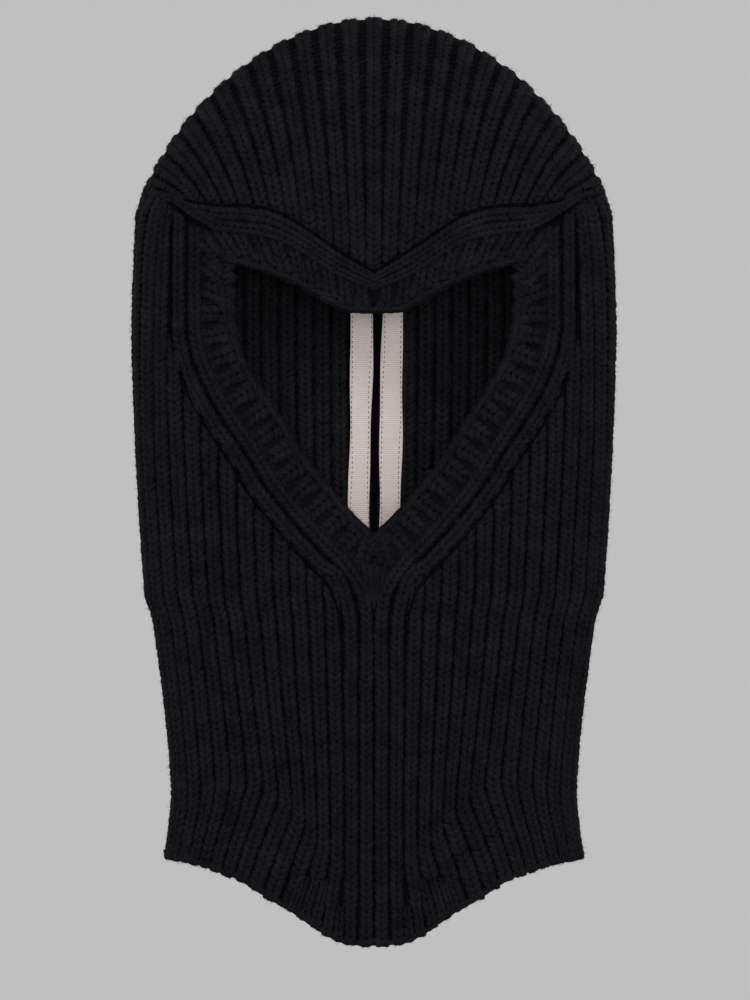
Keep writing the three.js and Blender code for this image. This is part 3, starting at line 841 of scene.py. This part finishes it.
def trim_wales(edge, seam, columns, ribs, root, span=(0, 1), girth=(1.75, 1.7, 1.22, 1.6), start=0.02):
    """Smooth columns at shares of the trim's width, and ribs that cross it from start to root."""
    steps = np.linalg.norm(np.diff(edge, axis=0), axis=1) + np.linalg.norm(np.diff(seam, axis=0), axis=1)
    place = np.r_[0, np.cumsum(steps)] / steps.sum()

    def at(along, across):
        """Surface points at shares along the trim, and across it from the opening to the seam."""
        inner = np.stack([np.interp(along, place, edge[:, k]) for k in (0, 1)], -1)
        outer = np.stack([np.interp(along, place, seam[:, k]) for k in (0, 1)], -1)
        return under(inner + (outer - inner) * across[..., None])

    lines, crossing = [], []
    for share, width in columns:
        along = np.linspace(0, 0.93, 90)
        points = at(along, share * np.ones(90))
        room = np.linalg.norm(at(along, np.ones(90)) - at(along, np.zeros(90)), axis=1)
        # Past the opening's corner the columns are drawn together towards the temple.
        far = np.concatenate([points[-12::11, [0, 2]], [[86, 343.5 + 4 * share], temple_point]])
        far = spaced(far, 30)[16:]  # the part beyond the points that it starts from
        points = np.concatenate([points, under(far)])
        room = np.r_[room, np.linspace(room[-1], 24, len(far))]
        scale = room * width / (2 * rib_half)
        lines.append(wale(points, outward(points), scale, lift=0.8, height=1.05))
    for k in range(ribs):
        along = span[0] + (span[1] - span[0]) * (k + 0.5) / ribs
        across = np.linspace(start, root, 24)
        points = at(along * np.ones(24), across)
        points, n = rolled(points, outward(points), 2.6 - 8 * start)
        share = np.linspace(0, 1, len(points))
        lift = 0.8 - 1.6 * np.clip((share - 0.85) / 0.15, 0, 1)
        crossing.append(wale(points, n, np.interp(share, (0, 0.45, 0.74, 1), girth), lift, height=1.1))
    return lines, crossing


def trim_grid(edge, seam):
    """Surface points in rows from the trim's edge to its seam."""
    grid = under(edge + (seam - edge) * np.linspace(0, 1, 9)[:, None, None])
    return grid + outward(grid) * 0.8


cheek_lines, cheek_ribs = trim_wales(
    cheek_line, cheek_seam_line, columns=[], ribs=17, root=0.64, span=(0.01, 1.0),
)
points = under(chin_line[(chin_line[:, 1] > chin_seam_z) & (chin_line[:, 1] < 338)])
cheek_lines.append(wale(points, outward(points), scale=1.08, lift=0.7, height=1.1))
brow_lines, brow_ribs = trim_wales(
    brow_line, peak_line, columns=[(0.86, 0.21), (0.65, 0.2)], ribs=9, root=0.55, span=(0.02, 0.98),
    girth=(1.32, 1.2, 0.9, 1.15), start=0.09,
)

# The trims' cloth is the darker gutter copy of the yarn: painted shade between their ribs.
trim_cloth_top, trim_cloth_low = -2.7, 3.8
trims = {
    "cheek": (cheek_line, cheek_seam_line, cheek_lines, cheek_ribs, (0.152, 0.0235)),
    "brow": (brow_line, peak_line, brow_lines, brow_ribs, (0.084, 0.026)),
}
for name, side in left_and_right:
    for which, (edge, seam, lines, ribs, flat) in trims.items():
        grid = trim_grid(edge, seam) * [side, 1, 1]
        cloth = sheet_between(f"{which}_cloth_{name}", grid, trim_cloth_top, trim_cloth_low, gutter_wool)
        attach(cloth, "root")
        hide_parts(f"{which}_trim_{name}")
        seed = 51 + side + len(ribs)
        parts = [
            knit(f"{which}_columns_{name}", on_side(lines, side), seed, black_wool),
            knit(f"{which}_ribs_{name}", on_side(ribs, side), seed + 5, black_wool, step=2.9),
        ]

# ------------------------------------------------------------------ linking seams
# The pieces are linked loop to loop. The linking yarn is a thin chain that lies sunk between
# the ribs, down the middle of the front and back, round the trims and along the crown. All but
# the knot at the chin is the darker copy of the yarn, painted shade for the dark grooves along the seams.

chain_points = 120


def chain(line, side=-1, lift=-2.7, scale=0.4):
    """A thin chain of stitches along a line of the front view, in front or behind."""
    points = under(spaced(line, chain_points), side)
    return wale(points, outward(points), scale, lift, height=0.6)


def crown_chain(side):
    """The chain under the crown, from the trim's corner to the back seam."""
    angle = np.linspace(corner_angle, np.pi - side * 0.02, 200)
    rise = np.clip((angle - corner_angle) / 0.25, 0, 1)
    points = around(angle, trim_corner[1] + (crown_seam_z - trim_corner[1]) * rise * rise * (3 - 2 * rise))
    # Round the front, up to the side, the chain lies near the surface, so its painted shade shows as a dark
    # line under the crown's edge.
    lift = -0.3 - 1.7 * np.clip((angle - 1.45) / 0.1, 0, 1)
    return wale(points, outward(points), 0.34, lift, height=0.6)


def seam_piece(name, wales, node, seed, yarn=shaded_wool):
    made = knit(name, wales, seed, yarn, step=chain_step)
    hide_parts(node)


# The mitre closes the corner between the cheek and brow trims and rises towards the temple; its chain of
# painted shade draws the dark line under the band there.
mitre = spaced([(70.8, 326.4), (75.6, 336.8), (83, 341), (90, 345.8), (95, 349.6)], 60)
mitre_lift = -2.7 + 3.4 * np.clip((np.arange(chain_points) - 30) / 25, 0, 1)
groove = beside_seam(0.0, [(6.9, 132), (7.2, 148), (9.3, 164), (14.4, 177)], 20)
for name, side in left_and_right:
    for which, line, lift, scale in (
        ("cheek", groove, -2.7, 0.4), ("brow", peak_line, -0.1, 0.27), ("corner", mitre, mitre_lift, 0.36),
    ):
        wales = on_side([chain(line, -1, lift, scale)], side)
        seam_piece(f"{which}_linking_{name}", wales, f"{which}_seam_{name}", 71 + side)
    wales = on_side([crown_chain(side)], side)
    seam_piece(f"crown_linking_{name}", wales, f"crown_seam_{name}", 75 + side)

# At the chin the two trims close over the seam in a small knot of loops.
taper = 0.8 * np.interp(np.arange(chain_points), (0, 45), (0.4, 1))
knot = [chain([(0, 162), (0, 177), (0, 193)], lift=-1.0, scale=taper)]
for side in (-1, 1):
    knot.append(chain([(side * 1.8, 165), (side * 3.2, 175), (side * 5, 187)], lift=-0.8, scale=taper))
back_z = np.linspace(hem_height(np.pi) + 2, crown_seam_z - 1, 60)
for name, wales, yarn in (
    ("front_seam", [chain([(0, 7), (0, 60), (0, 120), (0, chin_seam_z)])], shaded_wool),
    ("chin_seam", knot, black_wool),
    ("brow_peak_seam", [chain([(0, brow_dip_z + 2), (0, 306), (0, brow_peak_z)])], shaded_wool),
    ("back_seam", [chain(np.stack([back_lean(back_z), back_z], 1), side=1)], shaded_wool),
):
    seam_piece(name + "_linking", wales, name, 81, yarn)

# ------------------------------------------------------------------ cast-off edges
# The opening's edge and the hem are cast off: a firm chain of yarn runs along each, a little
# behind the rounded ends of the ribs.


def cast_off(name, points, away, side, node, seed, depth, girth):
    """A chain of stitches along an edge, facing away from the cloth."""
    n = unit(outward(points) * 0.25 + away)
    line = wale(points - outward(points) * depth, n, girth, lift=0.2, height=0.8)
    made = knit(name, on_side([line], side), seed, black_wool, step=2.6)
    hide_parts(node)


hem_angle = np.linspace(0.004, np.pi - 0.004, 240)
notch = 1.6 * np.exp(-(hem_angle / 0.022) ** 2)  # the hem opens a little at the front seam
hem_line = around(hem_angle, hem_height(hem_angle) + 0.6 + notch)
for name, side in left_and_right:
    for which, inset, depth, girth in (("cheek", 0.5, 1.5, 0.95), ("brow", 0.2, 1.2, 1.15)):
        edge, seam = trims[which][:2]
        towards = unit(seam - edge)
        away = -np.stack([towards[:, 0], np.zeros(len(edge)), towards[:, 1]], 1)
        points, node = under(edge + towards * inset), f"{which}_edge_{name}"
        cast_off(f"{which}_cast_off_{name}", points, away, side, node, 91, depth, girth)
    down, node = np.array([0, 0, -1.0]), f"hem_edge_{name}"
    cast_off(f"hem_cast_off_{name}", hem_line, down, side, node, 93, depth=2.2, girth=0.75)

# ------------------------------------------------------------------ label tapes
# Two plain strips of pale grosgrain lie flat on the inside of the back, one each side of the
# seam, and are sewn down along both edges with small dark running stitches.

tape_width, tape_gap, tape_low, tape_high = 10.6, 4.3, 160.0, 340.0


def grosgrain_cloth():
    made, tree, shader, place = new_material("grosgrain")
    waves = add_node(tree, "ShaderNodeTexWave", bands_direction="Z")
    waves = feed(waves, {"Vector": place, "Scale": 340, "Distortion": 0.6, "Detail": 1}).outputs["Fac"]
    cloud = add_node(tree, "ShaderNodeTexNoise", {"Vector": place, "Scale": 420}).outputs["Fac"]
    mix = add_node(tree, "ShaderNodeMix", {"Factor": 0.4, "A": waves, "B": cloud}).outputs["Result"]
    feed(shader, {
        "Base Color": two_colours(tree, mix, (0.56, 0.475, 0.465), (0.83, 0.735, 0.72)),
        "Normal": bumped(tree, waves, strength=0.5, distance=0.0002),
        "Roughness": 0.65, "Specular IOR Level": 0.3,
    })
    return made


def plain(name, colour, roughness):
    made = bpy.data.materials.new(name)
    made.use_nodes = True
    feed(made.node_tree.nodes["Principled BSDF"], {"Base Color": (*colour, 1), "Roughness": roughness})
    return made


grosgrain = grosgrain_cloth()
tape_thread = plain("tape_thread", (0.11, 0.09, 0.09), 0.7)

# A running stitch: a short bead of thread with rounded ends.
bead = [
    (thick * np.cos(a), y, thick * 0.7 * np.sin(a) + 0.1)
    for y, thick in ((-0.62, 0.1), (-0.42, 0.21), (0.42, 0.21), (0.62, 0.1)) for a in turn
]
running_stitch = stitch_object("running_stitch", [bead], bump_rings, bump_sides)


def tape_line(x, depth, inset=0.0):
    """A line down the inside of the back at a place across it, swaying as a sewn tape does."""
    z = np.linspace(tape_low + inset, tape_high - inset, 80)
    sway = 0.35 * np.sin(z / 17 + x) + 0.2 * np.sin(z / 7.3 + 2 * x)
    points = facing(x + back_lean(z) + sway, z, 1)
    return points - outward(points) * depth


stitch_inset = 1.1
for name, side in left_and_right:
    # Seen across, the tape is flat with a slightly thicker woven edge at each side.
    across = side * (tape_gap / 2 + tape_width * np.array([0, 0.035, 0.07, 0.12, 0.5, 0.88, 0.93, 0.965, 1]))
    raised = np.array([0.0, 0.16, 0.16, 0.0, 0.0, 0.0, 0.16, 0.16, 0.0])
    grid = np.stack([tape_line(x, wall + 0.55 + r) for x, r in zip(across, raised)])
    tape = sheet_between(f"tape_{name}", grid, 0.0, 0.35, grosgrain)
    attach(tape, "root")
    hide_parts(f"label_tape_{name}")
    for which, x in (("inner", across[0] + side * stitch_inset), ("outer", across[-1] - side * stitch_inset)):
        points = tape_line(x, wall + 0.95, stitch_inset)
        row = knit(
            f"stitches_{name}_{which}", [wale(points, -outward(points))], 95, tape_thread, step=2.4,
            unevenness=0.4, stitch=running_stitch,
        )
        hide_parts(f"tape_stitches_{name}_{which}")

# ------------------------------------------------------------------ loose fibres
# Wool sheds short fibres. A thin haze of them stands off the ribs, coloured paler than the yarn as
# a painted highlight for the light they catch; each is a straight three-sided hair two or three
# millimetres long.

hair = mesh_object(
    "hair", np.array([(0.09, 0, 0), (-0.045, 0.08, 0), (-0.045, -0.08, 0), (0.25, 0.1, 1)]) * mm,
    [(0, 2, 1), (0, 1, 3), (1, 2, 3), (2, 0, 3)],
)
hair_wool = wool("hair_wool", (0.026, 0.025, 0.029), haze=0.02, shine=0.02)


def haze_tree():
    """Geometry Nodes that scatter hairs over a knitted piece, leaning at random."""
    tree, given = new_tree("fibre_haze", {
        "Fibre": "Object", "Fibres per square metre": "Float", "Length": "Float", "Seed": "Int",
        "Yarn": "Material",
    })
    seed = given["Seed"]
    spread = add_node(tree, "GeometryNodeDistributePointsOnFaces", {
        "Mesh": given["Geometry"], "Density": given["Fibres per square metre"], "Seed": seed,
    }).outputs
    reach = {"Min": (-1.35, -1.35, -3.1), "Max": (1.35, 1.35, 3.1), "Seed": seed}
    lean = add_node(tree, "FunctionNodeRandomValue", reach, data_type="FLOAT_VECTOR").outputs["Value"]
    tall = add_node(tree, "FunctionNodeRandomValue", {"Min": 0.4, "Max": 1.3, "Seed": seed}).outputs[1]
    length = add_node(tree, "ShaderNodeMath", {0: tall, 1: given["Length"]}, operation="MULTIPLY")
    size = add_node(tree, "ShaderNodeCombineXYZ", {"X": 1.0, "Y": 1.0, "Z": length.outputs[0]})
    one_on_each(
        tree, spread["Points"], given["Fibre"], turned_by(tree, spread["Rotation"], lean),
        size.outputs["Vector"], given["Yarn"],
    )
    return tree


fibre_haze = haze_tree()
hairy = ("front_ribs", "back_ribs", "crown_ribs", "cheek_ribs", "cheek_columns", "brow_ribs", "brow_columns")
for seed, piece in enumerate([o for o in bpy.data.objects if o.name.startswith(hairy)]):
    given = {
        "Fibre": hair, "Fibres per square metre": 190000 if piece.name.startswith("back") else 300000,
        "Length": 2.4, "Seed": 200 + seed, "Yarn": hair_wool,
    }
    grown(piece.name + "_haze", piece.data.copy(), fibre_haze, given)

# ------------------------------------------------------------------ floor, lights and camera
# A plain pale floor well below, plain soft studio light, and a long lens straight ahead.

camera_data = bpy.data.cameras.new("camera")
camera_data.lens = 200
camera_data.sensor_fit = "VERTICAL"
camera_data.sensor_height = 36
camera = in_scene("camera", camera_data)
view_height, view_x, view_z = 472.3 * mm, 0.5 * mm, 210.6 * mm
camera.location = (view_x, -view_height * camera_data.lens / camera_data.sensor_height, view_z)
camera.rotation_euler = (np.pi / 2, 0, 0)
bpy.context.scene.camera = camera

world = bpy.data.worlds.new("studio")
world.use_nodes = True
feed(world.node_tree.nodes["Background"], {"Color": (0.527, 0.527, 0.527, 1)})
bpy.context.scene.world = world
bpy.context.scene.view_settings.view_transform = "Standard"


def softbox(name, place, target_z, size, power):
    """A round soft light aimed at the middle of the head at a height."""
    light = bpy.data.lights.new(name, "AREA")
    light.shape, light.size, light.energy = "DISK", size, power
    made = in_scene(name, light)
    made.location = place
    made.rotation_euler = (Vector((0, 0, target_z)) - Vector(place)).to_track_quat("-Z", "Y").to_euler()


softbox("key", (-0.4, -1.3, 1.1), target_z=0.25, size=0.7, power=6)
softbox("fill", (0.7, -1.3, 0.6), target_z=0.22, size=0.8, power=3.5)
softbox("front", (0.05, -2.2, 0.26), target_z=0.25, size=0.6, power=15)
softbox("behind_left", (1.0, 1.1, 1.0), target_z=0.25, size=0.8, power=20)
softbox("behind_right", (-1.1, 0.9, 0.5), target_z=0.22, size=0.8, power=12)

floor_radius, floor_z, floor_sides = 0.9, -0.36, 96
round_floor = np.linspace(0, 2 * np.pi, floor_sides, endpoint=False)
floor_edge = [(floor_radius * np.cos(a), floor_radius * np.sin(a), floor_z) for a in round_floor]
floor_paint = plain("floor_paint", (0.35, 0.35, 0.35), 0.9)
floor = mesh_object("floor", floor_edge, [tuple(range(floor_sides))], floor_paint)

for template in (v_stitch, purl_bump, running_stitch, hair):
    bpy.data.objects.remove(template)
